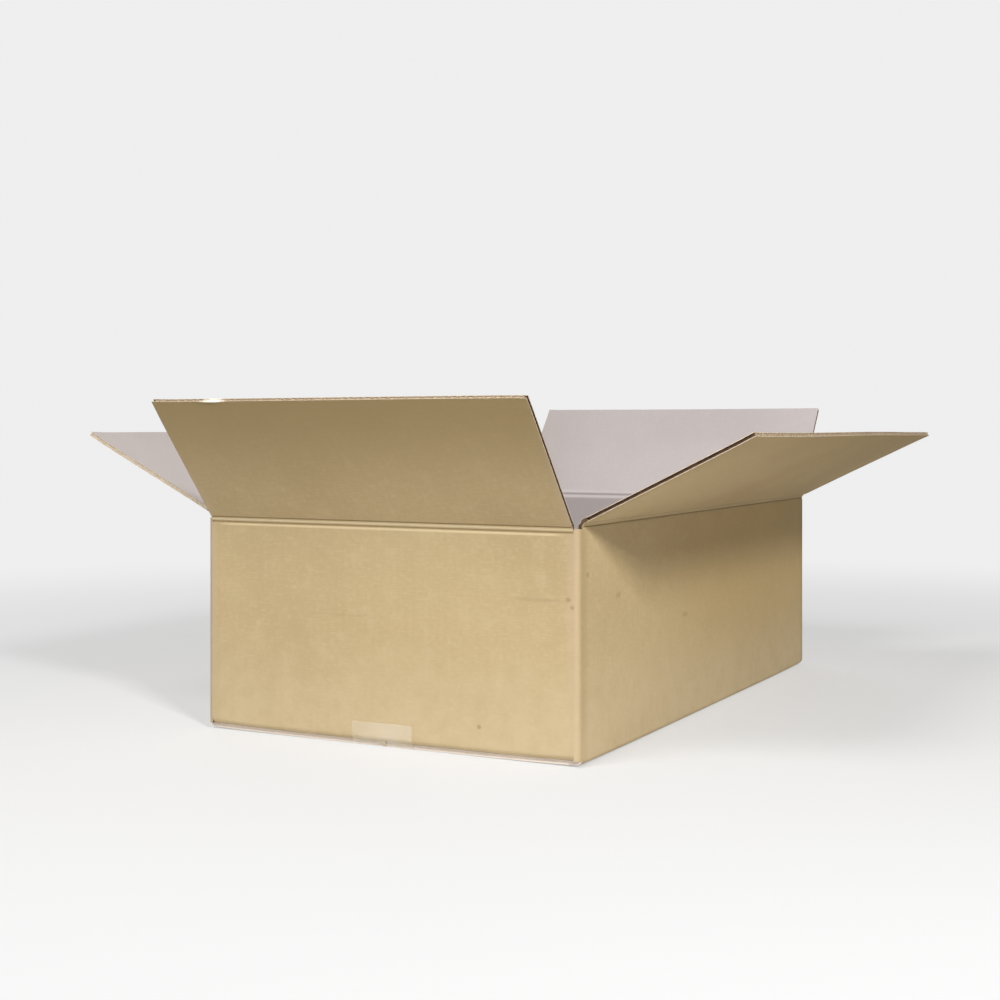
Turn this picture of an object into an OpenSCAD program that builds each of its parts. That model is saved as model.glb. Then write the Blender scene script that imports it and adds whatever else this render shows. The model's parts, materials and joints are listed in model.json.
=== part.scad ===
// Slotted shipping carton of single-wall corrugated board.
// One folded sheet makes the four walls, the glued joint and the taped bottom.
// Four top flaps stand open at the angles at which the board has set.
// X runs across the short walls, Y along the long walls, and the carton stands on Z = 0.

/* [Carton] */
// Outside width, measured across the short walls
box_w = 300; // [200:1:500]
// Outside length, measured along the long walls
box_l = 510; // [320:1:800]
// Height of the short walls' top fold above the ground
box_h = 155; // [90:1:400]
// Thickness of the corrugated board
board_t = 3; // [1.5:0.1:5]

/* [Folds] */
// Inner radius of the upright corner folds
corner_in = 1.2; // [0.6:0.1:3]
// Inner radius of the folds at the foot of the walls
foot_in = 1; // [0.6:0.1:3]
// Thickness of the outer liner, which is all that carries a top flap
liner_t = 0.4; // [0.3:0.05:0.8]
// Radius of the rolled crease along the top of the outer liner
crease_r = 0.5; // [0.3:0.05:0.8]
// Gap kept wherever one panel folds down onto another
fold_gap = 0.3; // [0.2:0.05:0.6]
// Extra that each slot is cut back past the bend of a corner fold
slot_extra = 0.3; // [0.1:0.1:3]

/* [Top flaps] */
// Reach of the front and back flaps, from fold to tip
short_flap = 108; // [60:1:150]
// Gap between the tips of the left and right flaps once they are closed
top_seam = 41; // [1:0.5:60]
// Slope of the front and back flaps above level
short_angle = 51; // [0:1:85]
// Slope of the left and right flaps above level
long_angle = 26; // [0:1:85]

/* [Bottom] */
// Reach of the inner bottom flaps, from wall to tip
bottom_flap = 108; // [60:1:150]
// Gap between the tips of the two outer bottom flaps
bottom_seam = 3; // [1:0.5:12]

/* [Glued joint] */
// Width of the glued tab
tab_w = 36; // [20:1:60]
// Height that the tab loses at each end along its width
tab_taper = 9; // [0:1:20]
// Distance that the tab stops short of the inner bottom flap and of the wall's top
tab_short = 3; // [1:0.5:10]
// Distance that the glued wall's cut edge stays back from the outer face
joint_back = 0.4; // [0.1:0.1:1]

/* [Tape] */
// Width of the tape along the bottom seam
tape_w = 48; // [25:1:100]
// Height of the tape's ends on the short walls
tape_up = 17; // [12:1:60]
// Thickness of the tape's film
tape_t = 0.15; // [0.1:0.05:0.4]
// Thickness of the layer of adhesive under the film
glue_t = 0.05; // [0.05:0.01:0.1]

/* [Hidden] */
kraft = [0.76, 0.66, 0.49];
film = [0.86, 0.80, 0.66];
$fn = 48;
// Flats in each bend of the tape
bend_steps = 8;

// Outer radius of each bend
corner_r = corner_in + board_t;
foot_r = foot_in + board_t;

// From the outside face of a corner to the side of a flap
slot_side = corner_r + slot_extra;
// The same at the glued joint, where the left wall bends inside the back wall
joint_side = slot_side + board_t;

// Levels of the layers at the bottom, from the ground up
outer_low = tape_t + glue_t;
outer_high = outer_low + board_t;
inner_low = outer_high + fold_gap;
inner_high = inner_low + board_t;

// Heights of the top folds: closed, the long flaps lie on the short ones
short_fold_z = box_h;
long_fold_z = short_fold_z + board_t + fold_gap;
// Under its fold a wall's full thickness stops low enough for the closed flap
wall_drop = board_t + fold_gap;
corner_top = short_fold_z - wall_drop;

// A flap starts clear of the crease and of the liner beside it
flap_start = max(crease_r, liner_t + fold_gap) + fold_gap;
// The long flaps turn about a line just outside their walls and leave the seam open
long_flap = box_w / 2 + fold_gap - top_seam / 2;

// Corner columns run on into the walls by this much, so that the sheet is whole
lap = board_t;

// Width and length of the flaps along their folds
short_span = box_w - 2 * slot_side;
long_span = box_l - 2 * slot_side;
left_span = box_l - slot_side - joint_side;
left_shift = (slot_side - joint_side) / 2;

// Quarter of a ring in the corner toward +X and -Y, about the origin
module quarter_bend(r_in, r_out) {
    intersection() {
        difference() {
            circle(r_out);
            circle(r_in);
        }
        translate([0, -r_out])
            square(r_out);
    }
}

// Section through one side of the sheet, from the bottom seam up to the crease.
// The first axis is the distance from the middle of the carton, the second the height.
module side_section(half, tip, low, fold_z) {
    bend = half - foot_r;
    top = fold_z - wall_drop;
    // bottom flap
    translate([tip, low])
        square([bend - tip, board_t]);
    // bend at the foot of the wall
    translate([bend, low + foot_r])
        quarter_bend(foot_in, foot_r);
    // wall
    translate([half - board_t, low + foot_r])
        square([board_t, top - low - foot_r]);
    // outer liner that runs on up to the fold
    translate([half - liner_t, top - lap])
        square([liner_t, fold_z - top + lap]);
    // rolled crease, centred on the line that the flap turns about
    translate([half + fold_gap, fold_z])
        circle(crease_r);
    translate([half - liner_t, fold_z - crease_r / 2])
        square([liner_t + fold_gap, crease_r]);
}

// A side of the sheet as a bar that runs along X in front, its section facing -Y
module side_bar(span, half, tip, low, fold_z) {
    rotate([90, 0, 90])
        linear_extrude(span, center = true)
            mirror([1, 0])
                side_section(half, tip, low, fold_z);
}

module long_side(span, shift) {
    rotate([0, 0, 90])
        translate([shift, 0, 0])
            side_bar(span, box_w / 2, bottom_seam / 2, outer_low, long_fold_z);
}

module short_side() {
    side_bar(short_span, box_l / 2, box_l / 2 - bottom_flap, inner_low, short_fold_z);
}

// A folded corner toward +X and -Y, bent about the origin. The bend stands as high as the
// slots are cut down, and the straight walls beside it stop where a closed flap lies.
module corner_column() {
    translate([0, 0, inner_low]) {
        linear_extrude(short_fold_z - inner_low)
            quarter_bend(corner_in, corner_r);
        linear_extrude(corner_top - inner_low) {
            translate([-slot_extra - lap, -corner_r])
                square([slot_extra + lap, board_t]);
            translate([corner_in, 0])
                square([board_t, slot_extra + lap]);
        }
    }
}

// The glued joint at the back left: the left wall bends round inside the back wall,
// whose cut edge shows at the corner
module joint_column() {
    translate([corner_r - box_w / 2, box_l / 2 - board_t - corner_r, 0])
        rotate(180)
            corner_column();
    translate([joint_back - box_w / 2, box_l / 2 - board_t, inner_low]) {
        cube([corner_r - slot_extra - joint_back, board_t, short_fold_z - inner_low]);
        cube([slot_side - joint_back + lap, board_t, corner_top - inner_low]);
    }
    glue_tab(-box_w / 2, box_l / 2 - board_t);
}

// Tab glued to the inside of the back wall, tapered toward its free edge
module glue_tab(x, y) {
    low = inner_high + tab_short;
    high = corner_top - tab_short;
    root = x + corner_r;
    free = x + tab_w;
    translate([0, y, 0])
        rotate([90, 0, 0])
            linear_extrude(board_t)
                polygon([
                    [root, low],
                    [free, low + tab_taper],
                    [free, high - tab_taper],
                    [root, high]
                ]);
}

module box_body() {
    color(kraft) {
        short_side();
        rotate(180)
            short_side();
        long_side(long_span, 0);
        rotate(180)
            long_side(left_span, -left_shift);
        translate([box_w / 2 - corner_r, corner_r - box_l / 2, 0])
            corner_column();
        translate([corner_r - box_w / 2, corner_r - box_l / 2, 0])
            mirror([1, 0, 0])
                corner_column();
        translate([box_w / 2 - corner_r, box_l / 2 - corner_r, 0])
            mirror([0, 1, 0])
                corner_column();
        joint_column();
    }
}

// A flap in front of the carton: it turns about X, slopes up toward -Y,
// and its outside face lies in the plane of the line that it turns about
module top_flap(span, reach, slope) {
    color(kraft)
        rotate([90 - slope, 0, 0])
            translate([-span / 2, 0, flap_start])
                cube([span, board_t, reach - flap_start]);
}

module front_flap() {
    translate([0, -box_l / 2 - fold_gap, short_fold_z])
        top_flap(short_span, short_flap, short_angle);
}

module back_flap() {
    rotate(180)
        front_flap();
}

module right_flap() {
    translate([box_w / 2 + fold_gap, 0, long_fold_z])
        rotate(90)
            top_flap(long_span, long_flap, long_angle);
}

module left_flap() {
    translate([-box_w / 2 - fold_gap, left_shift, long_fold_z])
        rotate(-90)
            top_flap(left_span, long_flap, long_angle);
}

// Line that the tape follows on each side: it runs level to the cut edge of the outer
// bottom flap, straight on to the bend of the short wall, round it, and up the wall
tape_edge = [box_l / 2 - slot_side, outer_low];
bend_mid = [box_l / 2 - foot_r, inner_low + foot_r];
to_bend = bend_mid - tape_edge;
tape_slope = atan2(to_bend[1], to_bend[0]) - asin(foot_r / norm(to_bend));
// Direction square to the straight stretch, where the bend begins
bend_from = tape_slope - 90;
edge_mid = (bend_from - 90) / 2;
edge_half = (bend_from + 90) / 2;

// Half of that line, moved off the board by a distance
function tape_line(off) = [
    tape_edge + off / cos(edge_half) * [cos(edge_mid), sin(edge_mid)],
    for (i = [0:bend_steps])
        bend_mid + (foot_r + off)
            * [cos(bend_from * (1 - i / bend_steps)), sin(bend_from * (1 - i / bend_steps))],
    [box_l / 2 + off, tape_up]
];
function turned(line) = [for (i = [len(line) - 1:-1:0]) line[i]];
function mirrored(line) = [for (p = line) [-p[0], p[1]]];

// One strip of tape along the bottom seam, turned up onto both short walls
module bottom_tape() {
    outside = tape_line(glue_t + tape_t);
    inside = tape_line(glue_t);
    color(film)
        rotate([90, 0, 90])
            linear_extrude(tape_w, center = true)
                polygon(concat(
                    turned(mirrored(outside)),
                    outside,
                    turned(inside),
                    mirrored(inside)
                ));
}

box_body();
front_flap();
back_flap();
left_flap();
right_flap();
bottom_tape();
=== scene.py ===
"""An open cardboard shipping carton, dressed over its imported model.

One folded sheet of corrugated board makes the walls, the glued joint and the bottom. Four top
flaps stand open at their creases, and one strip of clear tape closes the bottom seam.
The board's outer liner is brown kraft, its inner liner pale grey.
"""

import json
import math

import bmesh
import bpy
import numpy as np
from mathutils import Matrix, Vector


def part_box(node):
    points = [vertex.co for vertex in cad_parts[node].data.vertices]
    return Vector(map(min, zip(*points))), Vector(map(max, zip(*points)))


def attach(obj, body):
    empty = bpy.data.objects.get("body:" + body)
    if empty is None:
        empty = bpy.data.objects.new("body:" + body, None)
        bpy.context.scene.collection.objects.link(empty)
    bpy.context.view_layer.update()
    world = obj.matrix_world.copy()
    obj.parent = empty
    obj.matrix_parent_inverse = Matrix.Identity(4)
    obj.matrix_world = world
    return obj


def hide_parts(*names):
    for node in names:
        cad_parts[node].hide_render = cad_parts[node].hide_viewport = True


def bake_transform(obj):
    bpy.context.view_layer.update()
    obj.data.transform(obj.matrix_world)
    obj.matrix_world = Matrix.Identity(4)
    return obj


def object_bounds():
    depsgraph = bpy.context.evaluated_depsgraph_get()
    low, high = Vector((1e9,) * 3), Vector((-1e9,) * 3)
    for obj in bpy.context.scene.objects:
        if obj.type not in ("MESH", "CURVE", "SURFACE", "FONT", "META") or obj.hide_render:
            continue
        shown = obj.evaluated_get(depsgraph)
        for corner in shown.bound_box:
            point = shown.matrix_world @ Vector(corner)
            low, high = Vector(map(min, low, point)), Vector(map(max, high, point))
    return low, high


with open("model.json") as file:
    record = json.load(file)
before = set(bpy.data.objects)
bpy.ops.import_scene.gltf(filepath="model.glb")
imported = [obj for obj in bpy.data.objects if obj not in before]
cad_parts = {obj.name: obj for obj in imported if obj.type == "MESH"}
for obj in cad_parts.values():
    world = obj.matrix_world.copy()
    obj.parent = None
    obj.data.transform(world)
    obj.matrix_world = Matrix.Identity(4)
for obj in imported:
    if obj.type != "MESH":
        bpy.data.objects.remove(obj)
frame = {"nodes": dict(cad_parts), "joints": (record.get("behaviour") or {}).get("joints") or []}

cad_low, cad_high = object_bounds()

MM = 0.001

# Board and folds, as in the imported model
BOARD = 3 * MM
FOLD_GAP = 0.3 * MM
CORNER_IN = 1.2 * MM
CORNER_OUT = CORNER_IN + BOARD
FOOT_IN = 1 * MM
FOOT_OUT = FOOT_IN + BOARD
WALL_DROP = BOARD + FOLD_GAP
TAPE_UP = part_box("bottom_tape")[1].z
TAPE_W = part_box("bottom_tape")[1].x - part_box("bottom_tape")[0].x
OUTER_LOW = 0.2 * MM
INNER_LOW = OUTER_LOW + BOARD + FOLD_GAP
SLOT_EXTRA = 0.3 * MM
BOTTOM_SEAM = 3 * MM
BOTTOM_FLAP = 108 * MM
TAB_W = 36 * MM
TAB_TAPER = 9 * MM
TAB_SHORT = 3 * MM
JOINT_BACK = 0.4 * MM
GLUE_LINE = 0.05 * MM

# Corrugation of the board: pitch of the flutes, thickness of a liner and of the fluted medium
FLUTE = 6.35 * MM
LINER = 0.45 * MM
MEDIUM = 0.4 * MM

# How deep the cut edges of a top flap are open: beside the flutes, there when the cut has
# pressed them shut, at the flutes' ends, and at the fold
OPEN_SIDE = 2.4 * MM
SHUT_SIDE = 0.3 * MM
OPEN_TIP = 0.8 * MM
OPEN_ROOT = 0.3 * MM

FOLDS = {j["name"]: j for j in frame["joints"]}
HALF_W = FOLDS["right_fold"]["pos_m"][0] - FOLD_GAP
HALF_L = FOLDS["back_fold"]["pos_m"][1] - FOLD_GAP
SHORT_FOLD_Z = FOLDS["front_fold"]["pos_m"][2]
LONG_FOLD_Z = FOLDS["right_fold"]["pos_m"][2]

# Materials in the order in which every board piece holds them
OUTSIDE, INSIDE, CUT_ENDS, CUT_SIDE, CORE, HOLLOW, PRESSED, SCORE_OUT, SCORE_IN = range(9)


# Small tools for surfaces

class Surface:
    """Collects rectangular grids of points and turns them into one closed mesh."""

    def __init__(self):
        self.points, self.uvs, self.quads, self.kinds = [], [], [], []
        self.count = 0

    def grid(self, points, uv, kind):
        """Adds a grid of points with rows and columns, and a UV pair at each point."""
        rows, cols = points.shape[:2]
        index = np.arange(rows * cols).reshape(rows, cols) + self.count
        quads = np.stack(
            [index[:-1, :-1], index[:-1, 1:], index[1:, 1:], index[1:, :-1]], axis=-1
        ).reshape(-1, 4)
        self.points.append(points.reshape(-1, 3))
        self.uvs.append(np.broadcast_to(uv, points.shape[:2] + (2,)).reshape(-1, 2))
        self.quads.append(quads)
        self.kinds.append(np.full(len(quads), kind))
        self.count += rows * cols

    def ladder(self, one, other, along, kind):
        """Joins two lines of points by one row of faces. U is the way along, V the way across."""
        points = np.stack([one, other])
        across = np.array([0.0, BOARD])[:, None]
        uv = np.stack(np.broadcast_arrays(along[None, :], across), axis=-1)
        self.grid(points, uv, kind)

    def build(self, name, materials, weld=2e-6):
        """Makes the object: welds matching points, turns all faces outward, shades smoothly."""
        points = np.concatenate(self.points)
        quads = np.concatenate(self.quads)
        mesh = bpy.data.meshes.new(name)
        mesh.from_pydata(points.tolist(), [], quads.tolist())
        mesh.uv_layers.new(name="sheet")
        uv = np.concatenate(self.uvs)[quads.reshape(-1)]
        mesh.uv_layers["sheet"].data.foreach_set("uv", uv.astype(np.float32).ravel())
        mesh.polygons.foreach_set("material_index", np.concatenate(self.kinds).astype(np.int32))
        for material in materials:
            mesh.materials.append(material)
        shape = bmesh.new()
        shape.from_mesh(mesh)
        bmesh.ops.remove_doubles(shape, verts=shape.verts, dist=weld)
        bmesh.ops.recalc_face_normals(shape, faces=shape.faces)
        shape.to_mesh(mesh)
        shape.free()
        mesh.polygons.foreach_set("use_smooth", np.ones(len(mesh.polygons), bool))
        mesh.set_sharp_from_angle(angle=math.radians(32))
        made = bpy.data.objects.new(name, mesh)
        bpy.context.scene.collection.objects.link(made)
        return made


def pairs(u, v):
    """UV grid from a line of U values along the columns and of V values down the rows."""
    return np.stack(np.broadcast_arrays(u[None, :], v[:, None]), axis=-1)


def smooth_step(x):
    """Zero below 0, one above 1, and an S curve between."""
    t = np.clip(x, 0, 1)
    return t * t * (3 - 2 * t)


def bump(x, width):
    """A bell of height one about zero: e to the minus (x over width) squared."""
    return np.exp(-((x / width) ** 2))


def settle(points):
    """How the filled-and-emptied board has set, as small shifts of every point of the carton.

    The four bottom corners stand a little off the ground: the rise is a power of the way to the
    corner, fading out within 45 mm of height. Each wall is drawn in by a flat dome, the product
    of two half sines along its length and height, and waves by a slow product of two sines.
    Beside each corner fold the crushed board is drawn in by a bell of the distance to the corner.
    """
    x, y, z = points[..., 0], points[..., 1], points[..., 2]
    corner_rise, rise_height = 1.1 * MM, 45 * MM
    wall_band, band_edge = 12 * MM, 6 * MM
    crushed, crushed_width = 0.3 * MM, 7 * MM
    moved = points.copy()
    across, along = np.abs(x) / HALF_W, np.abs(y) / HALF_L
    corner = np.clip(across, 0, 1) ** 3 * np.clip(along, 0, 1) ** 5
    moved[..., 2] += corner_rise * corner * (1 - smooth_step(z / rise_height))
    height = np.sin(np.pi * np.clip(z / SHORT_FOLD_Z, 0, 1))
    near_long = smooth_step((np.abs(x) - HALF_W + wall_band) / band_edge)
    near_short = smooth_step((np.abs(y) - HALF_L + wall_band) / band_edge)
    wave_y = np.sin(y * 21 + 0.7) * np.sin(z * 34 + 1.1)
    wave_x = np.sin(x * 33 + 2.1) * np.sin(z * 31 + 0.4)
    flat_y = np.clip(1 - along ** 8, 0, 1)
    flat_x = np.clip(1 - across ** 8, 0, 1)
    pull_long = height * flat_y * (0.55 + 0.25 * wave_y) * MM
    pull_short = height * flat_x * (0.45 + 0.25 * wave_x) * MM
    pull_long = pull_long + crushed * bump(HALF_L - np.abs(y), crushed_width)
    pull_short = pull_short + crushed * bump(HALF_W - np.abs(x), crushed_width)
    moved[..., 0] -= np.sign(x) * near_long * pull_long
    moved[..., 1] -= np.sign(y) * near_short * pull_short
    return moved


# The folded sheet

def straight(start, end, step):
    """Plan points from start to end, about a step apart, with the inward side to their right.

    Returned with the inward direction and the distance from the start at each point.
    """
    start, end = np.array(start), np.array(end)
    way = end - start
    length = np.linalg.norm(way)
    share = np.linspace(0, 1, max(2, round(length / step) + 1))[:, None]
    inward = np.array([way[1], -way[0]]) / length
    return start + share * way, np.broadcast_to(inward, (len(share), 2)), share[:, 0] * length


def corner(centre, from_deg, to_deg, steps=8):
    """The same round a quarter circle of the outside bend radius, inward toward its centre."""
    angle = np.radians(np.linspace(from_deg, to_deg, steps + 1))
    ray = np.stack([np.cos(angle), np.sin(angle)], axis=-1)
    return np.array(centre) + CORNER_OUT * ray, -ray, np.abs(angle - angle[0]) * CORNER_OUT


def sheet_plan():
    """The stretches of the sheet in plan, clockwise from the back wall's cut edge at the left.

    Each is (name, outside points, inward directions, distances along the sheet).
    """
    w, l, r, t = HALF_W, HALF_L, CORNER_OUT, BOARD + GLUE_LINE
    step = 9 * MM
    stretches = [
        ("corner", straight((-w + JOINT_BACK, l), (-w + r, l), step)),
        ("short", straight((-w + r, l), (w - r, l), step)),
        ("corner", corner((w - r, l - r), 90, 0)),
        ("long", straight((w, l - r), (w, r - l), step)),
        ("corner", corner((w - r, r - l), 0, -90)),
        ("short", straight((w - r, -l), (r - w, -l), step)),
        ("corner", corner((r - w, r - l), -90, -180)),
        ("long", straight((-w, r - l), (-w, l - t - r), step)),
        ("corner", corner((r - w, l - t - r), 180, 90)),
        ("tab", straight((r - w, l - t), (TAB_W - w, l - t), step)),
    ]
    made, so_far = [], 0.0
    for name, (points, inward, along) in stretches:
        made.append((name, points, inward, along + so_far))
        so_far += along[-1]
    return made


def sheet_levels():
    """Heights of the rows of the walls, and for each kind of stretch its first and last row."""
    tab_low = INNER_LOW + BOARD + TAB_SHORT
    tab_high = SHORT_FOLD_Z - WALL_DROP - TAB_SHORT
    tab_rows = 19
    between = np.linspace(tab_low, tab_high, tab_rows)
    levels = np.concatenate([
        [INNER_LOW, OUTER_LOW + FOOT_OUT, INNER_LOW + FOOT_OUT],
        between,
        [SHORT_FOLD_Z - WALL_DROP, SHORT_FOLD_Z],
    ])
    last = len(levels) - 1
    rows = {"corner": (0, last), "short": (2, last - 1), "long": (1, last), "tab": (3, last - 2)}
    return levels, rows


def lift(plan, heights):
    """Puts plan points at heights: a grid with one row for each height."""
    rows, cols = len(heights), len(plan)
    flat = np.broadcast_to(plan[None], (rows, cols, 2))
    up = np.broadcast_to(heights.reshape(rows, -1), (rows, cols))
    return np.concatenate([flat, up[..., None]], axis=-1)


def add_foot(sheet, plan, inward, along, low, reach):
    """One bottom flap with its fold: a profile carried along the wall's foot.

    The profile is a quarter circle under the wall, of the outside bend radius on one face and the
    inside radius on the other, and then a level line to the flap's tip.
    """
    angle = np.radians(np.linspace(0, 90, 9))
    level = np.linspace(FOOT_OUT, reach, 14)[1:]
    faces = []
    for radius, rise, kind in ((FOOT_OUT, 0, OUTSIDE), (FOOT_IN, BOARD, INSIDE)):
        away = np.concatenate([FOOT_OUT - radius * np.cos(angle), level])
        height = np.concatenate([low + FOOT_OUT - radius * np.sin(angle), level * 0 + low + rise])
        way = np.concatenate([angle * FOOT_OUT, level - FOOT_OUT + np.pi / 2 * FOOT_OUT])
        flat = plan[None] + away[:, None, None] * inward[None]
        points = np.concatenate(
            [flat, np.broadcast_to(height[:, None, None], flat.shape[:2] + (1,))], axis=-1
        )
        sheet.grid(settle(points), pairs(along, low + FOOT_OUT - way), kind)
        faces.append(settle(points))
    sheet.ladder(faces[0][-1], faces[1][-1], along, CUT_ENDS)
    sheet.ladder(faces[0][:, 0], faces[1][:, 0], way, PRESSED)
    sheet.ladder(faces[0][:, -1], faces[1][:, -1], way, PRESSED)


def carton_sheet(materials):
    """The walls, corner folds, glued tab and bottom flaps as one closed sheet of board.

    Each stretch of the plan is lifted between its first and last row, once for the outside and
    once, moved in by the board's thickness, for the inside. Rims close it where a neighbour is
    lower or the sheet ends.
    """
    sheet = Surface()
    levels, rows = sheet_levels()
    plan = sheet_plan()
    for i, (name, points, inward, along) in enumerate(plan):
        first, last = rows[name]
        heights = levels[first:last + 1, None]
        if name == "tab":
            share = (along - along[0]) / (along[-1] - along[0])
            middle = (levels[first] + levels[last]) / 2
            shrink = 1 - share[None] * TAB_TAPER / (middle - levels[first])
            heights = middle + (heights - middle) * shrink
        outside = settle(lift(points, heights))
        inside = settle(lift(points + BOARD * inward, heights))
        v = levels[first:last + 1]
        sheet.grid(outside, pairs(along, v), OUTSIDE)
        sheet.grid(inside, pairs(along, v), INSIDE)
        rim = PRESSED if name == "corner" else CUT_ENDS
        sheet.ladder(outside[-1], inside[-1], along, rim)
        if name == "short":
            add_foot(sheet, points, inward, along, INNER_LOW, BOTTOM_FLAP)
        elif name == "long":
            add_foot(sheet, points, inward, along, OUTER_LOW, HALF_W - BOTTOM_SEAM / 2)
        else:
            sheet.ladder(outside[0], inside[0], along, CUT_ENDS)
        before = rows[plan[i - 1][0]] if i > 0 else (last, last)
        after = rows[plan[i + 1][0]] if i + 1 < len(plan) else (last, last)
        for col, (near_first, near_last) in ((0, before), (-1, after)):
            for low, high in ((first, min(near_first, last)), (max(near_last, first), last)):
                if high > low and (near_first, near_last) != (first, last):
                    part = slice(low - first, high - first + 1)
                    sheet.ladder(outside[part, col], inside[part, col], levels[low:high + 1], CUT_SIDE)
    return sheet.build("carton_sheet", materials)


# Top flaps and their creases

class Fold:
    """One top flap's place: where it turns, which way it slopes, and how far it reaches."""

    def __init__(self, side, outward, span_axis):
        joint = FOLDS[side + "_fold"]
        self.side = side
        self.node = side + "_flap"
        self.at = np.array(joint["pos_m"])
        self.out = np.array(outward, float)
        self.up = np.array([0.0, 0.0, 1.0])
        self.lean = math.radians(joint["range_deg"][1] - 90)
        self.way = self.out * math.sin(self.lean) + self.up * math.cos(self.lean)
        self.face = self.out * math.cos(self.lean) - self.up * math.sin(self.lean)
        low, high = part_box(self.node)
        self.ends = low[span_axis], high[span_axis]
        self.along = np.eye(3)[span_axis]
        corners = np.array([v.co for v in frame["nodes"][self.node].data.vertices])
        self.reach = ((corners - self.at) @ self.way).max()

    def place(self, x, u, v):
        """Points of the flap: x along the fold, u from the fold to the tip, v into the board."""
        x, u, v = np.broadcast_arrays(x, u, v)
        base = self.at * (1 - np.abs(self.along))
        return (
            base
            + x[..., None] * self.along
            + u[..., None] * self.way
            - v[..., None] * self.face
        )


# Distance of a flap's flat part from its fold, and of the score's two outer grooves
ROOT = 4 * MM
SCORE_LINE = 2.4 * MM


def flap_rows(u0, u1):
    """Distances of a flap's rows from its fold, even at first and closer toward the tip."""
    tip = u1 - np.array([6.0, 4.5, 3.2, 2.2, 1.4, 0.7, 0.0]) * MM
    return np.concatenate([np.linspace(u0, u1 - 8 * MM, round((u1 - u0) / (4 * MM))), tip])


def flap_panel(fold, materials, shift, open_side, ears, wear=None):
    """One top flap as two liners with an open corrugation between them along the cut edges.

    Each face is a flat grid, waved by a slow product of two sines that dies out at the fold, and
    its two tip corners are bent by bells. Between the faces a border runs along each edge: down
    the liner's edge, in under it to the core, down the core, out again, and down the other
    liner's edge. The core's grid is the face's grid scaled about the middle.
    """
    column, wave_height, ear_width = 3 * MM, 0.28 * MM, 10 * MM
    x0, x1 = fold.ends
    u0, u1 = ROOT, fold.reach
    x = np.linspace(x0, x1, round((x1 - x0) / column) + 1)
    gx, gu = np.meshgrid(x, flap_rows(u0, u1))
    middle, wide = (x0 + x1) / 2, x1 - x0
    core_x = middle + (gx - middle) * (1 - 2 * open_side / wide)
    core_u = u0 + OPEN_ROOT + (gu - u0) * (1 - (OPEN_TIP + OPEN_ROOT) / (u1 - u0))

    def place(px, pu, v):
        rise = smooth_step((pu - u0) / (0.6 * (u1 - u0)))
        wave = wave_height * rise * np.sin(px * 17 + shift) * np.sin(pu * 26 + 2 * shift)
        bent = ears[0] * bump(px - x0, ear_width) + ears[1] * bump(x1 - px, ear_width)
        wave = wave + bent * bump(u1 - pu, ear_width)
        nudge_u, nudge_v = wear(px, pu, v) if wear else (0, 0)
        return fold.place(px, pu + nudge_u, v + wave + nudge_v)

    panel = Surface()
    uv = np.stack([gx, fold.at[2] + gu], axis=-1)
    panel.grid(place(gx, gu, 0 * gx), uv, OUTSIDE)
    panel.grid(place(gx, gu, 0 * gx + BOARD), uv, INSIDE)
    layers = [
        place(gx, gu, 0 * gx),
        place(gx, gu, 0 * gx + LINER),
        place(core_x, core_u, 0 * gx + LINER),
        place(core_x, core_u, 0 * gx + BOARD - LINER),
        place(gx, gu, 0 * gx + BOARD - LINER),
        place(gx, gu, 0 * gx + BOARD),
    ]
    side = HOLLOW if open_side > SHUT_SIDE else PRESSED
    edges = [
        (np.s_[0, :], x, CORE),
        (np.s_[-1, :], x, CORE),
        (np.s_[:, 0], gu[:, 0], side),
        (np.s_[:, -1], gu[:, 0], side),
    ]
    for edge, along, inner_kind in edges:
        for step in range(5):
            kind = inner_kind if 0 < step < 4 else PRESSED
            panel.ladder(layers[step][edge], layers[step + 1][edge], along, kind)
    add_flutes(panel, x0 + open_side, x1 - open_side, u1, place)
    return panel.build(fold.node + "_panel", materials)


def add_flutes(panel, x0, x1, u1, place):
    """The fluted medium behind a flap's tip: a sine wave of the flute pitch, with a thickness.

    The wave runs along the tip, touches both liners, and is carried into the board.
    """
    points_per_flute = 14
    x = np.linspace(x0, x1, round((x1 - x0) / FLUTE * points_per_flute) + 1)
    swing = BOARD / 2 - LINER - MEDIUM / 2
    phase = 2 * np.pi * x / FLUTE
    v = BOARD / 2 + swing * np.sin(phase)
    tilt = swing * 2 * np.pi / FLUTE * np.cos(phase)
    scale = MEDIUM / 2 / np.sqrt(1 + tilt ** 2)
    loops = []
    front_at, back_at = 0.15 * MM, OPEN_TIP
    for side, depth in ((-1, front_at), (1, front_at), (1, back_at), (-1, back_at)):
        line = place(x - side * tilt * scale, u1 - depth + 0 * x, v + side * scale)
        loops.append(line)
    for i in range(4):
        panel.ladder(loops[i], loops[(i + 1) % 4], x, CORE)
    for end in (0, -1):
        square = np.array([[loops[0][end], loops[1][end]], [loops[3][end], loops[2][end]]])
        panel.grid(square, np.zeros(2), CORE)


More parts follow.
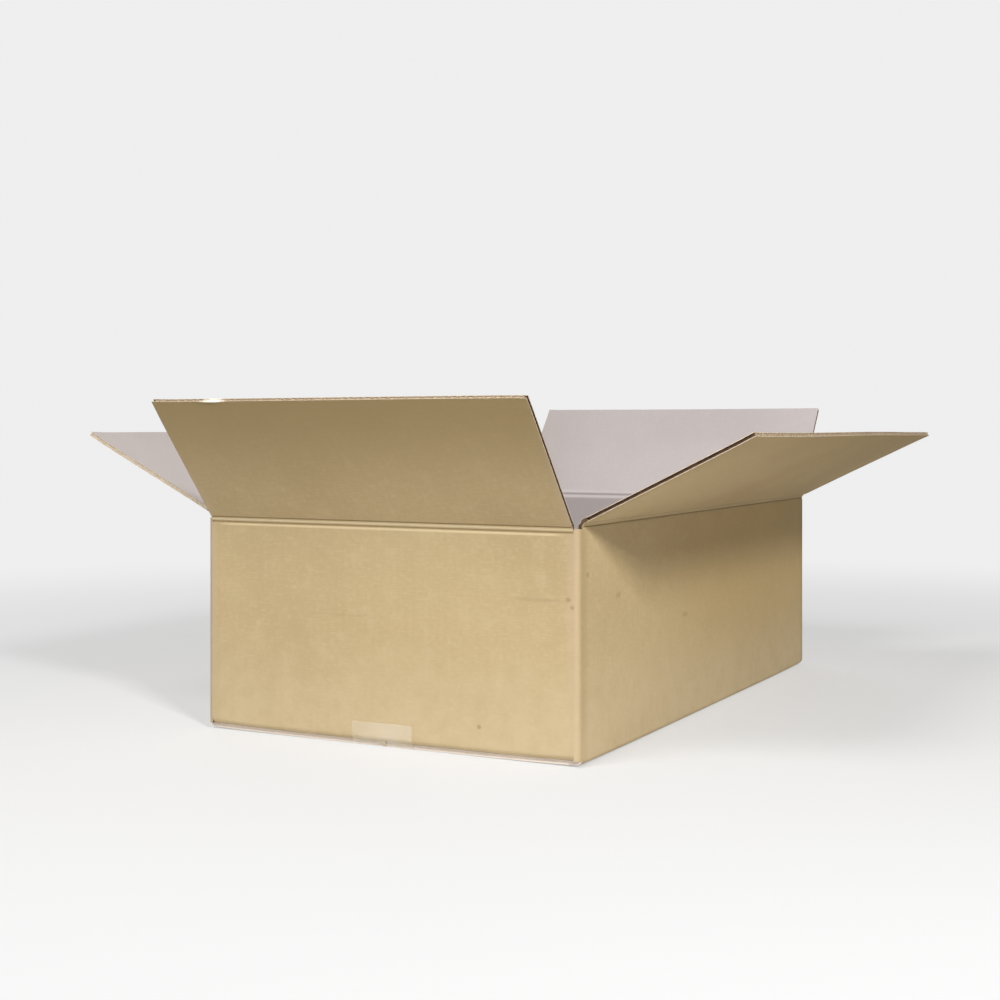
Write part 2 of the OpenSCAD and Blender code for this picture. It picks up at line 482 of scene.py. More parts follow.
def crease_section(fold, raised):
    """Section of the scored board from the wall's top to the flap's root.

    Its middle line is straight up the wall, a parabola round the corner where wall and flap
    lines meet, and straight on along the flap. The inner face dips at the score as a bell, and
    the outer face is pinched into a ridge between two grooves, bells as well, and raised is the
    ridge's height. Returned as points across (out, up) for both faces, with the distance of each
    from the score.
    """
    ridge_width, groove_width, groove_depth = 1.0 * MM, 0.5 * MM, 0.42 * MM
    dip_width, dip_depth = 1.3 * MM, 1.1 * MM
    half = BOARD / 2
    slope = np.array([math.sin(fold.lean), math.cos(fold.lean)])
    square = np.array([math.cos(fold.lean), -math.sin(fold.lean)])
    wall_x = -FOLD_GAP - half
    reach = (wall_x + half * square[0]) / slope[0]
    knee = -half * square + reach * slope
    start = np.array([wall_x, -WALL_DROP])
    end = ROOT * slope - half * square
    arm = 2.4 * MM
    before = knee - arm * np.array([0.0, 1.0])
    after = knee + arm * slope
    t = np.linspace(0, 1, 17)[:, None]
    curve = (1 - t) ** 2 * before + 2 * t * (1 - t) * knee + t ** 2 * after
    lead = start + np.linspace(0, 1, 6)[:-1, None] * (before - start)
    trail = after + np.linspace(0, 1, 11)[1:, None] * (end - after)
    line = np.concatenate([lead, curve, trail])
    step = np.linalg.norm(np.diff(line, axis=0), axis=1)
    way = np.concatenate([[0], np.cumsum(step)])
    way -= way[len(lead) + 8]
    tangent = np.gradient(line, axis=0)
    tangent[0], tangent[-1] = [0.0, 1.0], slope
    tangent /= np.linalg.norm(tangent, axis=1)[:, None]
    normal = np.stack([tangent[:, 1], -tangent[:, 0]], axis=-1)
    groove = groove_depth * bump(np.abs(way) - SCORE_LINE, groove_width)
    ridge = raised * bump(way, ridge_width) - groove
    dip = dip_depth * bump(way, dip_width)
    outer = line + normal * (half + ridge)[:, None]
    inner = line - normal * (half - dip)[:, None]
    return outer, inner, way, before, after


def crease_strip(fold, materials, raised):
    """The scored strip that joins a wall to its flap: the crease section carried along the fold."""
    outer, inner, way, before, after = crease_section(fold, raised)
    x0, x1 = fold.ends
    x = np.linspace(x0, x1, round((x1 - x0) / (9 * MM)) + 1)
    base = fold.at * (1 - np.abs(fold.along))
    faces = []
    strip = Surface()
    for section, kind in ((outer, SCORE_OUT), (inner, SCORE_IN)):
        points = (
            base
            + x[None, :, None] * fold.along
            + section[:, 0, None, None] * fold.out
            + section[:, 1, None, None] * fold.up
        )
        held = 1 - smooth_step((way + 3 * MM) / (2 * MM))[:, None, None]
        points = points + held * (settle(points) - points)
        strip.grid(points, pairs(x, way), kind)
        faces.append(points)
    for row in (0, -1):
        strip.ladder(faces[0][row], faces[1][row], x, CUT_ENDS)
    for col in (0, -1):
        strip.ladder(faces[0][:, col], faces[1][:, col], way, CUT_SIDE)
    made = strip.build(fold.side + "_crease", materials)
    start = base + before[0] * fold.out + before[1] * fold.up
    end = base + after[0] * fold.out + after[1] * fold.up
    return made, start, end


# Tape

def tape_line():
    """The tape's way from its front end to its back end, as points (along, up) on the board.

    Down the front wall, round the bend, straight across to the outer bottom flap, and level
    along the bottom. The back half is the front half mirrored.
    """
    bend = np.array([HALF_L - FOOT_OUT, INNER_LOW + FOOT_OUT])
    edge = np.array([HALF_L - CORNER_OUT - SLOT_EXTRA, OUTER_LOW])
    to_bend = bend - edge
    slope = math.atan2(to_bend[1], to_bend[0]) - math.asin(FOOT_OUT / np.linalg.norm(to_bend))
    angle = np.linspace(0, slope - math.pi / 2, 9)[:, None]
    ray = np.concatenate([np.cos(angle), np.sin(angle)], axis=1)
    up = np.array([[HALF_L, z] for z in np.linspace(TAPE_UP, bend[1], 8)[:-1]])
    level = np.array([[y, OUTER_LOW] for y in np.linspace(edge[0], 0, 40)[1:]])
    half = np.concatenate([up, bend + FOOT_OUT * ray, edge[None], level])
    return np.concatenate([half * np.array([-1.0, 1.0]), half[-2::-1]])


def seam_tape(materials):
    """One strip of film: the tape's line carried across its width, its ends cut by a toothed blade.

    The teeth are a triangle wave along the end. The film lies on the board by the same shifts as
    the board, and its ripples are in its finish.
    """
    line = tape_line()
    x = np.linspace(-TAPE_W / 2, TAPE_W / 2, 161)
    step = np.linalg.norm(np.diff(line, axis=0), axis=1)
    way = np.concatenate([[0], np.cumsum(step)])
    tangent = np.gradient(line, axis=0)
    tangent /= np.linalg.norm(tangent, axis=1)[:, None]
    outward = np.stack([tangent[:, 1], -tangent[:, 0]], axis=-1)
    pitch, depth = 1.5 * MM, 0.7 * MM
    teeth = np.abs((x / pitch) % 1 - 0.5) * 2 * depth
    film = Surface()
    faces = []
    underside, upside = 0.03 * MM, 0.15 * MM
    for off in (underside, upside):
        flat = line + outward * off
        points = np.stack(np.broadcast_arrays(x[None], flat[:, :1], flat[:, 1:]), axis=-1)
        for row in (0, -1):
            points[row, :, 2] -= teeth
        points = settle(points)
        film.grid(points, pairs(x, way), 0)
        faces.append(points)
    for row in (0, -1):
        film.ladder(faces[0][row], faces[1][row], x, 0)
    for col in (0, -1):
        film.ladder(faces[0][:, col], faces[1][:, col], way, 0)
    return film.build("seam_tape", materials)


# Finishes

class Finish:
    """A node material under construction, with short calls for the nodes that this scene uses."""

    def __init__(self, name):
        self.material = bpy.data.materials.new(name)
        self.material.use_nodes = True
        self.nodes = self.material.node_tree.nodes
        self.links = self.material.node_tree.links
        self.shader = self.nodes["Principled BSDF"]

    def add(self, kind, **settings):
        """A new node with its settings."""
        node = self.nodes.new(kind)
        for key, value in settings.items():
            setattr(node, key, value)
        return node

    def feed(self, socket, value):
        """Links another node's output into a socket, or sets the socket to a constant."""
        if isinstance(value, bpy.types.NodeSocket):
            self.links.new(value, socket)
        else:
            socket.default_value = value

    def coordinates(self, source, scale):
        """Object coordinates or the sheet's own UV, stretched by a scale for each axis."""
        texture = self.add("ShaderNodeTexCoord") if source == "Object" else None
        start = texture.outputs["Object"] if texture else self.sheet_uv()
        mapping = self.add("ShaderNodeMapping")
        self.links.new(start, mapping.inputs["Vector"])
        mapping.inputs["Scale"].default_value = scale
        return mapping.outputs["Vector"]

    def sheet_uv(self):
        return self.add("ShaderNodeUVMap", uv_map="sheet").outputs["UV"]

    def noise(self, vector, scale, detail, roughness):
        node = self.add("ShaderNodeTexNoise")
        self.links.new(vector, node.inputs["Vector"])
        node.inputs["Scale"].default_value = scale
        node.inputs["Detail"].default_value = detail
        node.inputs["Roughness"].default_value = roughness
        return node.outputs["Fac"]

    def math(self, operation, a, b=0.0, clamp=False):
        node = self.add("ShaderNodeMath", operation=operation, use_clamp=clamp)
        self.feed(node.inputs[0], a)
        self.feed(node.inputs[1], b)
        return node.outputs[0]

    def ramp(self, value, low, high, to_low=0.0, to_high=1.0):
        """An S curve of a value between low and high. It falls where low is the greater one."""
        node = self.add("ShaderNodeMapRange", interpolation_type="SMOOTHSTEP")
        self.feed(node.inputs["Value"], value)
        for name, number in (
            ("From Min", low), ("From Max", high), ("To Min", to_low), ("To Max", to_high)
        ):
            node.inputs[name].default_value = number
        return node.outputs["Result"]

    def mix(self, share, one, other):
        """One colour passing into another by a share."""
        node = self.add("ShaderNodeMix", data_type="RGBA")
        self.feed(node.inputs["Factor"], share)
        self.feed(node.inputs["A"], one)
        self.feed(node.inputs["B"], other)
        return node.outputs["Result"]

    def relief(self, height, distance, strength=1.0, normal=None):
        """A fine relief of a height and distance, laid over another one where that is given."""
        node = self.add("ShaderNodeBump")
        self.feed(node.inputs["Height"], height)
        node.inputs["Distance"].default_value = distance
        node.inputs["Strength"].default_value = strength
        if normal is not None:
            self.links.new(normal, node.inputs["Normal"])
        return node.outputs["Normal"]

    def axes(self):
        """The three Object coordinates, each as a distance from the middle."""
        texture = self.add("ShaderNodeTexCoord")
        split = self.add("ShaderNodeSeparateXYZ")
        self.links.new(texture.outputs["Object"], split.inputs[0])
        return [self.math("ABSOLUTE", split.outputs[name]) for name in ("X", "Y", "Z")]

    def painted_fold_shade(self):
        """Shares of painted shade beside the upright folds: on the short walls, on the long walls."""
        x, y, z = self.axes()
        beside = self.ramp(x, HALF_W - 11 * MM, HALF_W - 5 * MM)
        behind = self.ramp(y, HALF_L - 18 * MM, HALF_L - 4 * MM)
        on_short = self.ramp(y, HALF_L - 4 * MM, HALF_L - 0.5 * MM)
        on_long = self.math("SUBTRACT", self.ramp(x, HALF_W - 6 * MM, HALF_W - 3 * MM), on_short, True)
        height = self.ramp(z, 0.0, SHORT_FOLD_Z, 0.6, 1.0)
        short_share = self.math("MULTIPLY", beside, self.math("MULTIPLY", on_short, height))
        long_share = self.math("MULTIPLY", behind, self.math("MULTIPLY", on_long, height))
        return short_share, long_share

    def painted_foot_light(self, strength, patch):
        """Share of painted light toward the foot of the walls, in patches."""
        foot = self.ramp(self.axes()[2], 90 * MM, 0.0, 0.0, strength)
        return self.math("MULTIPLY", foot, self.ramp(patch, 0.3, 0.6, 0.6, 1.0))

    def painted_highlight_line(self, strength):
        """Share of a painted highlight along the short walls just below their top folds."""
        x, y, z = self.axes()
        off = self.math("ABSOLUTE", self.math("SUBTRACT", z, SHORT_FOLD_Z - 3.9 * MM))
        line = self.ramp(off, 1.3 * MM, 0.4 * MM, 0.0, strength)
        within = self.ramp(x, HALF_W - 7 * MM, HALF_W - 22 * MM)
        end = self.ramp(y, HALF_L - 4 * MM, HALF_L - 2 * MM)
        return self.math("MULTIPLY", line, self.math("MULTIPLY", within, end))

    def painted_flap_shade(self):
        """Share of painted shade on the open flaps, growing from their folds to their tips."""
        return self.ramp(self.axes()[2], LONG_FOLD_Z, cad_high[2], 0.0, 0.8)

    def groove(self, distance, width, strength):
        """Share of a soft line on each side of the fold, at a distance from it, by the UV's V."""
        split = self.add("ShaderNodeSeparateXYZ")
        self.links.new(self.sheet_uv(), split.inputs[0])
        off = self.math("SUBTRACT", self.math("ABSOLUTE", split.outputs["Y"]), distance)
        return self.ramp(self.math("ABSOLUTE", off), width, 0.15 * width, 0.0, strength)

    def spot(self, centre, radii):
        """One within an ellipsoid about a place on the carton, fading to zero at its border."""
        texture = self.add("ShaderNodeTexCoord")
        mapping = self.add("ShaderNodeMapping", vector_type="TEXTURE")
        self.links.new(texture.outputs["Object"], mapping.inputs["Vector"])
        mapping.inputs["Location"].default_value = centre
        mapping.inputs["Scale"].default_value = radii
        length = self.add("ShaderNodeVectorMath", operation="LENGTH")
        self.links.new(mapping.outputs["Vector"], length.inputs[0])
        return self.ramp(length.outputs["Value"], 0.35, 1.0, 1.0, 0.0)


def linear(red, green, blue):
    """Display values from 0 to 255 as a linear colour with full alpha."""
    share = np.array([red, green, blue]) / 255
    value = np.where(share <= 0.04045, share / 12.92, ((share + 0.055) / 1.055) ** 2.4)
    return (*[float(v) for v in value], 1.0)


def board_face(name, tones, marks=(), foot_light=0.0, deep=0.0, score=None):
    """A liner's face: cloudy pulp, fine fibres along the paper's run, and faint flute lines.

    Flutes run up the sheet and the paper's fibres across it, so both follow the sheet's UV. The
    foot light is how much paler painted light makes the foot of the walls, and it brings the
    painted shade beside the upright folds, the painted highlight below the short folds and the
    painted shade of the flaps. Deep is how much painted shade darkens the inside below the top
    folds. Score is a painted tone for the grooves and one for the ridge of a crease, whose V is
    the distance from the fold: painted shade and painted highlight where the crease's relief
    loses or catches the light.
    """
    made = Finish(name)
    dark, base, pale = (linear(*tone) for tone in tones)
    fibres_per_metre = (85, 1150, 1)
    fold_shade_strengths, highlight_strength, shade_below = (0.6, 0.55), 0.55, 0.86
    place = made.coordinates("Object", (1, 1, 1))
    cloud = made.noise(place, 9, 3, 0.5)
    patch = made.noise(place, 70, 4, 0.6)
    mottle = made.noise(place, 330, 3, 0.6)
    speck = made.noise(place, 800, 2, 0.5)
    fibre = made.noise(made.coordinates("UV", fibres_per_metre), 1, 4, 0.7)
    flutes = made.add("ShaderNodeTexWave", wave_type="BANDS", bands_direction="X")
    made.links.new(made.coordinates("UV", (1, 0, 0)), flutes.inputs["Vector"])
    flutes.inputs["Scale"].default_value = math.pi / 10 / FLUTE
    flutes.inputs["Distortion"].default_value = 0.0
    colour = made.mix(made.ramp(cloud, 0.3, 0.62), dark, base)
    for value, low, high, share, tone in (
        (patch, 0.5, 0.72, 0.20, pale),
        (patch, 0.5, 0.30, 0.20, dark),
        (mottle, 0.5, 0.72, 0.22, pale),
        (mottle, 0.48, 0.28, 0.34, dark),
        (fibre, 0.52, 0.72, 0.40, pale),
        (fibre, 0.46, 0.26, 0.55, dark),
        (speck, 0.69, 0.78, 0.45, dark),
    ):
        colour = made.mix(made.ramp(value, low, high, 0.0, share), colour, tone)
    colour = made.mix(made.math("MULTIPLY", flutes.outputs["Fac"], 0.08), colour, dark)
    if foot_light:
        # Painted light: the walls grow paler toward their foot
        colour = made.mix(made.painted_foot_light(foot_light, patch), colour, pale)
        # Painted shade beside the upright folds
        for share, strength, tone in zip(made.painted_fold_shade(), fold_shade_strengths, FOLD_SHADE_TONES):
            colour = made.mix(made.math("MULTIPLY", share, strength), colour, linear(*tone))
        # Painted highlight just below the short folds
        colour = made.mix(made.painted_highlight_line(highlight_strength), colour, linear(*FOLD_HIGHLIGHT))
        # Painted shade on the open flaps, darker toward their tips
        colour = made.mix(made.painted_flap_shade(), colour, linear(*FLAP_SHADE))
    # Painted shade: the inside is darker just below the top folds
    if deep:
        below = made.ramp(made.axes()[2], SHORT_FOLD_Z, SHORT_FOLD_Z - 6 * MM, 0.0, deep)
        colour = made.mix(below, colour, linear(*(shade_below * np.array(tones[0]))))
    # Painted shade and painted highlight along the crease's grooves and ridge
    if score:
        colour = made.mix(made.groove(SCORE_LINE, 0.9 * MM, 0.8), colour, linear(*score[0]))
        colour = made.mix(made.groove(0, 1.3 * MM, 0.75), colour, linear(*score[1]))
    for centre, radii, strength, tone in marks:
        share = made.math("MULTIPLY", made.spot(centre, radii), strength)
        colour = made.mix(share, colour, linear(*tone))
    made.feed(made.shader.inputs["Base Color"], colour)
    made.feed(made.shader.inputs["Roughness"], made.ramp(patch, 0.3, 0.7, 0.76, 0.88))
    made.shader.inputs["Specular IOR Level"].default_value = 0.25
    normal = made.relief(flutes.outputs["Fac"], 0.025 * MM)
    normal = made.relief(cloud, 0.3 * MM, 0.5, normal)
    normal = made.relief(mottle, 0.03 * MM, 0.7, normal)
    normal = made.relief(fibre, 0.03 * MM, 0.7, normal)
    made.feed(made.shader.inputs["Normal"], normal)
    return made.material


def cut_edge(name, tones, fluted):
    """A cut edge: liner, core, liner across the board's thickness, by the sheet's UV.

    At the flutes' ends the core shows the medium as a sine line over dark hollows, painted shade
    of the empty flutes. Along a flute the core is one open channel, painted dark as shade.
    """
    made = Finish(name)
    hollow, medium, liner = (linear(*tone) for tone in tones)
    split = made.add("ShaderNodeSeparateXYZ")
    made.links.new(made.sheet_uv(), split.inputs[0])
    along, across = split.outputs["X"], split.outputs["Y"]
    off = made.math("SUBTRACT", across, BOARD / 2)
    if fluted:
        phase = made.math("MULTIPLY", along, 2 * math.pi / FLUTE)
        wave = made.math("MULTIPLY", made.math("SINE", phase), BOARD / 2 - LINER)
        gap = made.math("ABSOLUTE", made.math("SUBTRACT", off, wave))
        core = made.mix(made.ramp(gap, 0.25 * MM, 0.6 * MM), medium, hollow)
    else:
        grain = made.noise(made.coordinates("UV", (60, 900, 1)), 1, 3, 0.6)
        core = made.mix(made.ramp(grain, 0.35, 0.65), hollow, medium)
    edge = made.ramp(made.math("ABSOLUTE", off), BOARD / 2 - LINER, BOARD / 2 - 0.6 * LINER)
    fuzz = made.noise(made.coordinates("Object", (1, 1, 1)), 900, 3, 0.6)
    colour = made.mix(edge, core, liner)
    colour = made.mix(made.ramp(fuzz, 0.4, 0.7, 0.0, 0.35), colour, medium)
    made.feed(made.shader.inputs["Base Color"], colour)
    made.shader.inputs["Roughness"].default_value = 0.9
    made.shader.inputs["Specular IOR Level"].default_value = 0.15
    made.feed(made.shader.inputs["Normal"], made.relief(fuzz, 0.1 * MM, 0.8))
    return made.material


def bare_paper(name, shade, tone, marks=()):
    """Bare paper of a cut or a flute: fibrous, matt and blotched between two tones."""
    made = Finish(name)
    grain = made.noise(made.coordinates("Object", (1, 1, 1)), 420, 4, 0.65)
    colour = made.mix(made.ramp(grain, 0.35, 0.68), linear(*shade), linear(*tone))
    for centre, radii, strength, mark_tone in marks:
        share = made.math("MULTIPLY", made.spot(centre, radii), strength)
        colour = made.mix(share, colour, linear(*mark_tone))
    made.feed(made.shader.inputs["Base Color"], colour)
    made.shader.inputs["Roughness"].default_value = 0.92
    made.shader.inputs["Specular IOR Level"].default_value = 0.1
    made.feed(made.shader.inputs["Normal"], made.relief(grain, 0.08 * MM, 0.7))
    return made.material


def clear_film(name):
    """Clear packing film: it lets the kraft through, with a slight milky cast and a soft gloss.

    Over the open seam it is nearly opaque and tan, a painted stand-in for the seam's shade.
    """
    made = Finish(name)
    ripple = made.noise(made.coordinates("Object", (1, 0.25, 1)), 60, 3, 0.55)
    film_tone = made.mix(made.ramp(ripple, 0.35, 0.7), linear(248, 237, 214), linear(255, 250, 236))
    across, _, height = made.axes()
    under = made.ramp(height, 5 * MM, 3.5 * MM)
    # Painted shade: the film is nearly opaque and tan over the seam
    seam_cover = made.math("MULTIPLY", made.ramp(across, 2.3 * MM, 1.3 * MM), under)
    clear, seam_cover_alpha = 0.17, 0.9
    made.feed(made.shader.inputs["Base Color"], made.mix(seam_cover, film_tone, linear(214, 196, 168)))
    made.shader.inputs["Roughness"].default_value = 0.2
    made.shader.inputs["IOR"].default_value = 1.49
    made.feed(made.shader.inputs["Alpha"], made.ramp(seam_cover, 0.0, 1.0, clear, seam_cover_alpha))
    made.feed(made.shader.inputs["Normal"], made.relief(ripple, 0.2 * MM, 0.6))
    return made.material


def seen_part(nodes, links):
    """One for what the camera, a gloss or a clear film sees, and zero for light itself."""
    path = nodes.new("ShaderNodeLightPath")
    shown = path.outputs["Is Camera Ray"]
    for kind in ("Is Glossy Ray", "Is Transmission Ray"):
        either = nodes.new("ShaderNodeMath")
        either.operation = "MAXIMUM"
        links.new(shown, either.inputs[0])
        links.new(path.outputs[kind], either.inputs[1])
        shown = either.outputs[0]
    return shown


def ground_finish():
    """A matt pale ground that is seen to pass into the plain surround away from the carton.

    The seen part is a dim matt coat with a glow, so that shadows stay soft, and a smooth step of
    the distance from the carton leads it over to the surround's own tone.
    """
    coat_tone, glow_strength = 0.40, 0.42
    near_reach, far_reach = 0.45, 1.5
    made = Finish("pale_ground")
    made.shader.inputs["Base Color"].default_value = linear(234, 234, 234)
    made.shader.inputs["Roughness"].default_value = 0.9
    coat = made.add("ShaderNodeBsdfDiffuse")
    coat.inputs["Color"].default_value = (coat_tone, coat_tone, coat_tone, 1)
    glow = made.add("ShaderNodeEmission")
    glow.inputs["Strength"].default_value = glow_strength
    near = made.add("ShaderNodeAddShader")
    made.links.new(coat.outputs[0], near.inputs[0])
    made.links.new(glow.outputs[0], near.inputs[1])
    far = made.add("ShaderNodeEmission")
    far.inputs["Strength"].default_value = SURROUND
    texture = made.add("ShaderNodeTexCoord")
    length = made.add("ShaderNodeVectorMath", operation="LENGTH")
    made.links.new(texture.outputs["Object"], length.inputs[0])
    seen = made.add("ShaderNodeMixShader")
    made.links.new(made.ramp(length.outputs["Value"], near_reach, far_reach), seen.inputs[0])
    made.links.new(near.outputs[0], seen.inputs[1])
    made.links.new(far.outputs[0], seen.inputs[2])
    both = made.add("ShaderNodeMixShader")
    made.links.new(seen_part(made.nodes, made.links), both.inputs[0])
    made.links.new(made.shader.outputs[0], both.inputs[1])
    made.links.new(seen.outputs[0], both.inputs[2])
    made.links.new(both.outputs[0], made.nodes["Material Output"].inputs["Surface"])
    return made.material


# Camera, light and ground

# Strength of the plain surround as it is seen, and as it lights the carton
SURROUND = 0.86
AMBIENT = 0.12

# The photograph's camera, fitted to the carton: its place, its turn, and in pixels of the square
# picture its side, the focal length and the horizon's row from the top
CAMERA_AT = (0.5634, -1.1681, 0.2191)
CAMERA_TURN = 27.3
PICTURE_PX = 1000
FOCAL_PX = 1547.7
HORIZON_PX = 430.5


def set_camera():
    """The photograph's view: level, from the front right, with the horizon above the middle."""
    camera = bpy.data.objects.new("camera", bpy.data.cameras.new("camera"))
    camera.data.sensor_width = 36
    camera.data.lens = FOCAL_PX / PICTURE_PX * camera.data.sensor_width
    camera.data.shift_y = (HORIZON_PX - PICTURE_PX / 2) / PICTURE_PX
    camera.location = CAMERA_AT
    camera.rotation_euler = (math.radians(90), 0, math.radians(CAMERA_TURN))
    bpy.context.scene.collection.objects.link(camera)
    bpy.context.scene.camera = camera


def area_light(name, place, aim, size, power):
    """A square soft light at a place, turned toward its aim."""
    data = bpy.data.lights.new(name, "AREA")
    data.size = size
    data.energy = power
    lamp = bpy.data.objects.new(name, data)
    place, aim = np.array(place), np.array(aim)
    away = place - aim
    flat = math.hypot(away[0], away[1])
    lamp.location = place
    lamp.rotation_euler = (math.atan2(flat, away[2]), 0, math.atan2(away[0], -away[1]))
    bpy.context.scene.collection.objects.link(lamp)


def set_lights():
    """A soft key from the front right, a high front light, a weak rear one, and a pale surround."""
    middle = np.array([0.0, 0.0, 0.1])
    for name, way, distance, size, power in (
        ("key", (0.63, -0.59, 0.51), 2.1, 0.28, 32.5),
        ("high", (-0.15, -0.70, 0.85), 2.2, 0.8, 24),
        ("rear", (-0.60, 0.75, 0.35), 2.4, 1.8, 18),
    ):
        way = np.array(way) / np.linalg.norm(way)
        area_light(name, middle + distance * way, middle, size, power)
    world = bpy.data.worlds.new("surround")
    bpy.context.scene.world = world
    world.use_nodes = True
    nodes, links = world.node_tree.nodes, world.node_tree.links
    level = nodes.new("ShaderNodeMapRange")
    links.new(seen_part(nodes, links), level.inputs["Value"])
    level.inputs["To Min"].default_value = AMBIENT
    level.inputs["To Max"].default_value = SURROUND
    nodes["Background"].inputs["Color"].default_value = (1.0, 1.0, 1.0, 1.0)
    links.new(level.outputs["Result"], nodes["Background"].inputs["Strength"])


def set_ground():
    """A wide pale floor under the carton."""
    side, below = 12.0, 0.1 * MM
    ground = Surface()
    line = np.linspace(-side, side, 2)
    gx, gy = np.meshgrid(line, line)
    ground.grid(np.stack([gx, gy, 0 * gx - below], axis=-1), np.zeros(2), 0)
    floor = ground.build("floor", [ground_finish()])


# Putting it together

def lifted_sliver(x, u, v):
    """The nick in the front flap's tip: a sliver of the outer liner stands off the edge.

    Along the tip it rises fast at its left end and fades slowly to the right. Across, it grows
    as an S curve over the last millimetres before the tip. Only the outer liner moves.
    """
    left_end, right_end, depth = -107 * MM, -86 * MM, 2.8 * MM
    past_tip, off_board = 0.2 * MM, 0.6 * MM
    rising = smooth_step((x - left_end) / (5 * MM))
    along = rising * (1 - smooth_step((x - right_end) / (8 * MM)))
    across = smooth_step((u - front.reach + depth) / depth)
    outer = 1 - smooth_step((v - LINER) / (0.2 * MM))
    lift = along * across * outer
    return past_tip * lift, -off_board * lift


front = Fold("front", (0, -1, 0), 0)
back = Fold("back", (0, 1, 0), 0)
left = Fold("left", (-1, 0, 0), 1)
right = Fold("right", (1, 0, 0), 1)

# Display values of the tones. The liners have a dark, a plain and a pale one. The painted shade
# beside the upright folds has one on the short walls and one on the long walls.
KRAFT = ((177, 155, 116), (184, 163, 123), (202, 183, 148))
# Painted shade on the open flaps
FLAP_SHADE = (148, 127, 86)
FOLD_SHADE_TONES = (186, 164, 137), (152, 132, 96)
# A painted highlight below the short folds
FOLD_HIGHLIGHT = (226, 208, 170)
GREY = ((186, 177, 175), (193, 184, 182), (200, 192, 190))
DIRT_AND_SHADE = (120, 98, 68)
TORN = (255, 250, 238)

# The nick in the front flap's tip, and the painted shadow below it
NICK = tuple(float(v) for v in front.place(-0.093, front.reach, 0.0))
NICK_SHADE = tuple(float(v) for v in front.place(-0.096, front.reach - 1.9 * MM, 0.0))

# Marks on the outside: place, radii, strength and tone of each. They are spots of dirt, the painted
# shadow below the nick, the nick and, last, the painted warm shade of the right wall's far end.
SMUDGES_AND_SHADE = [
    ((0.1418, -HALF_L, 0.1091), (0.0028, 0.004, 0.0020), 0.40, DIRT_AND_SHADE),
    ((0.1446, -HALF_L, 0.1040), (0.0022, 0.004, 0.0018), 0.35, DIRT_AND_SHADE),
    ((0.1200, -HALF_L, 0.1080), (0.0260, 0.004, 0.0018), 0.13, DIRT_AND_SHADE),
    ((0.0763, -HALF_L, 0.0209), (0.0020, 0.004, 0.0020), 0.45, DIRT_AND_SHADE),
    ((-0.0300, -HALF_L, 0.0900), (0.0400, 0.004, 0.0014), 0.07, DIRT_AND_SHADE),
    # A painted shadow below the lifted sliver of the nick
    (NICK_SHADE, (0.0120, 0.0011, 0.0011), 0.55, DIRT_AND_SHADE),
    (NICK, (0.0130, 0.0012, 0.0012), 1.0, TORN),
    ((HALF_W, -0.1896, 0.1065), (0.004, 0.0060, 0.0030), 0.25, DIRT_AND_SHADE),
    ((HALF_W, -0.0593, 0.0798), (0.004, 0.0080, 0.0030), 0.25, DIRT_AND_SHADE),
    ((HALF_W, -0.2416, 0.1245), (0.004, 0.0035, 0.0025), 0.30, DIRT_AND_SHADE),
    # Painted warm shade over the right wall's far end
    ((HALF_W, 0.1600, 0.1300), (0.006, 0.4200, 0.1300), 0.45, (178, 151, 98)),
]
# Painted shade that darkens the left flap's inside
LEFT_FLAP_SHADE = [((-0.21, 0, 0.185), (0.16, 0.9, 0.16), 0.35, (160, 148, 138))]
kraft = board_face("kraft_liner", KRAFT, SMUDGES_AND_SHADE, foot_light=0.6)
pale = board_face("pale_liner", GREY, LEFT_FLAP_SHADE, deep=0.7)
# Cut edges: their dark hollows are painted shade of the empty flutes
ends = cut_edge("cut_flute_ends", ((74, 57, 41), (156, 130, 96), (196, 182, 160)), True)
sides = cut_edge("cut_along_flutes", ((70, 53, 40), (98, 77, 58), (150, 132, 108)), False)
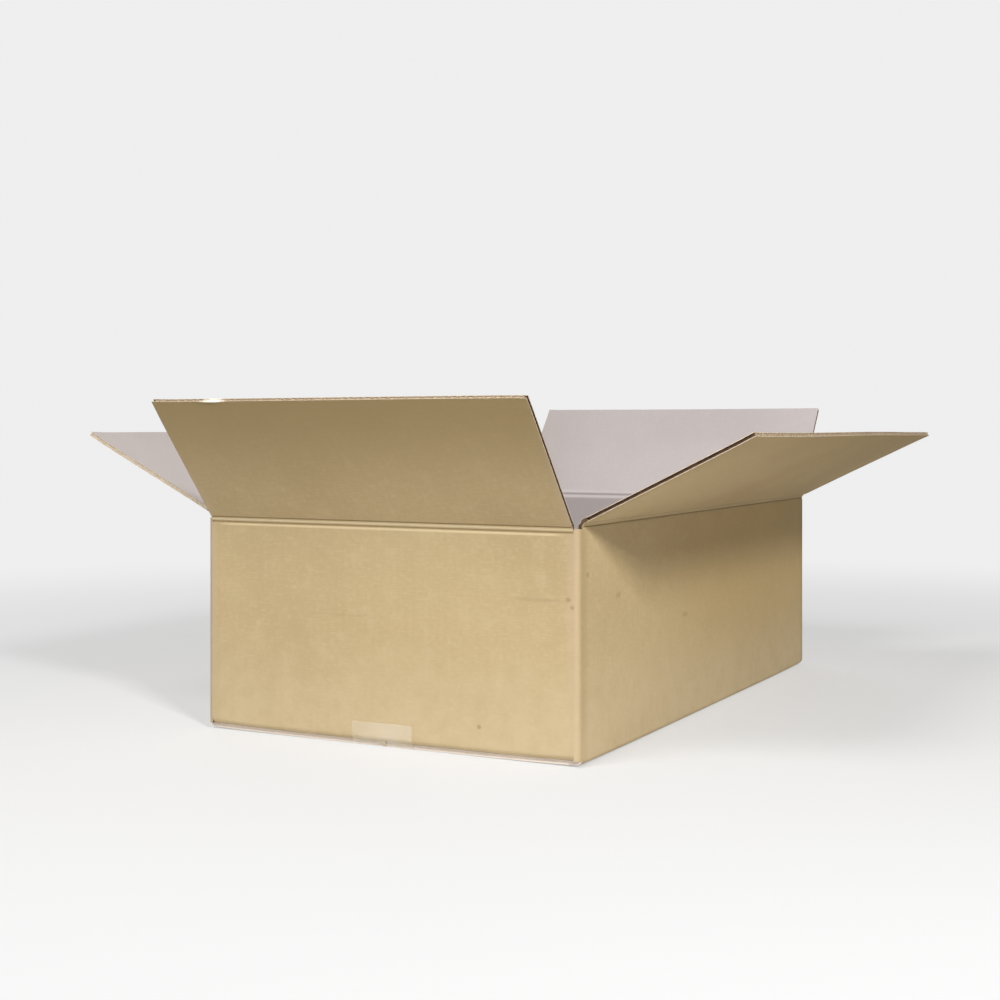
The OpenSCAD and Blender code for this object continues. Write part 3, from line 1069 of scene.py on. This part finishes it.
# White torn paper in the nick, and painted light that makes the cut ends of the board under the front
# wall pale
tear = [(NICK, (0.0135, 0.0050, 0.0050), 1.0, TORN)]
foot = [((0, 5 * MM - HALF_L, 2 * MM), (0.5, 0.006, 0.005), 0.9, (242, 229, 217))]
core = bare_paper("fluting_paper", (176, 156, 130), (198, 180, 154), tear)
# The open channels along a flap's cut sides: darker than the paper, painted shade in the recess
hollow = bare_paper("flute_hollow", (100, 77, 60), (126, 99, 78))
pressed = bare_paper("pressed_cut", (186, 169, 146), (206, 191, 171), tear + foot)
# The creases: outside, painted shade in the grooves and a painted highlight on the ridge; inside,
# painted shade at the score and a painted highlight beside it; on the long folds, painted shade on
# both.
scored = board_face("kraft_score", KRAFT, score=((134, 113, 78), (216, 199, 164)))
pale_scored = board_face("pale_score", GREY, score=((204, 196, 194), (146, 137, 136)))
plain_scored = board_face("kraft_score_long", KRAFT, score=((140, 119, 82), (172, 151, 111)))
board = [kraft, pale, ends, sides, core, hollow, pressed, scored, pale_scored]
long_board = board[:SCORE_OUT] + [plain_scored, pale_scored]
film = clear_film("clear_tape_film")

body = carton_sheet(board)
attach(body, "carton")
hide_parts("box_body")

# For each flap: the phase of its waves, how deep its side edges are open, the bends of its two
# tip corners, its wear, and its crease's materials and height of ridge
for fold, shift, open_side, ears, wear, sheet, raised in (
    (front, 0.0, OPEN_SIDE, (0.3 * MM, -0.2 * MM), lifted_sliver, board, 0.3 * MM),
    (back, 1.3, OPEN_SIDE, (0.4 * MM, 0.2 * MM), None, board, 0.3 * MM),
    (left, 2.6, SHUT_SIDE, (0.5 * MM, 0.3 * MM), None, long_board, 0.05 * MM),
    (right, 3.9, OPEN_SIDE, (0.3 * MM, -0.3 * MM), None, long_board, 0.05 * MM),
):
    panel = flap_panel(fold, board, shift, open_side, ears, wear)
    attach(panel, fold.node)
    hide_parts(fold.node)
    crease, start, end = crease_strip(fold, sheet, raised)
    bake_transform(crease)
    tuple(start)
    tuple(end)

tape = seam_tape([film])
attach(tape, "carton")
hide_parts("bottom_tape")

set_camera()
set_lights()
set_ground()
bpy.context.scene.view_settings.view_transform = "Standard"
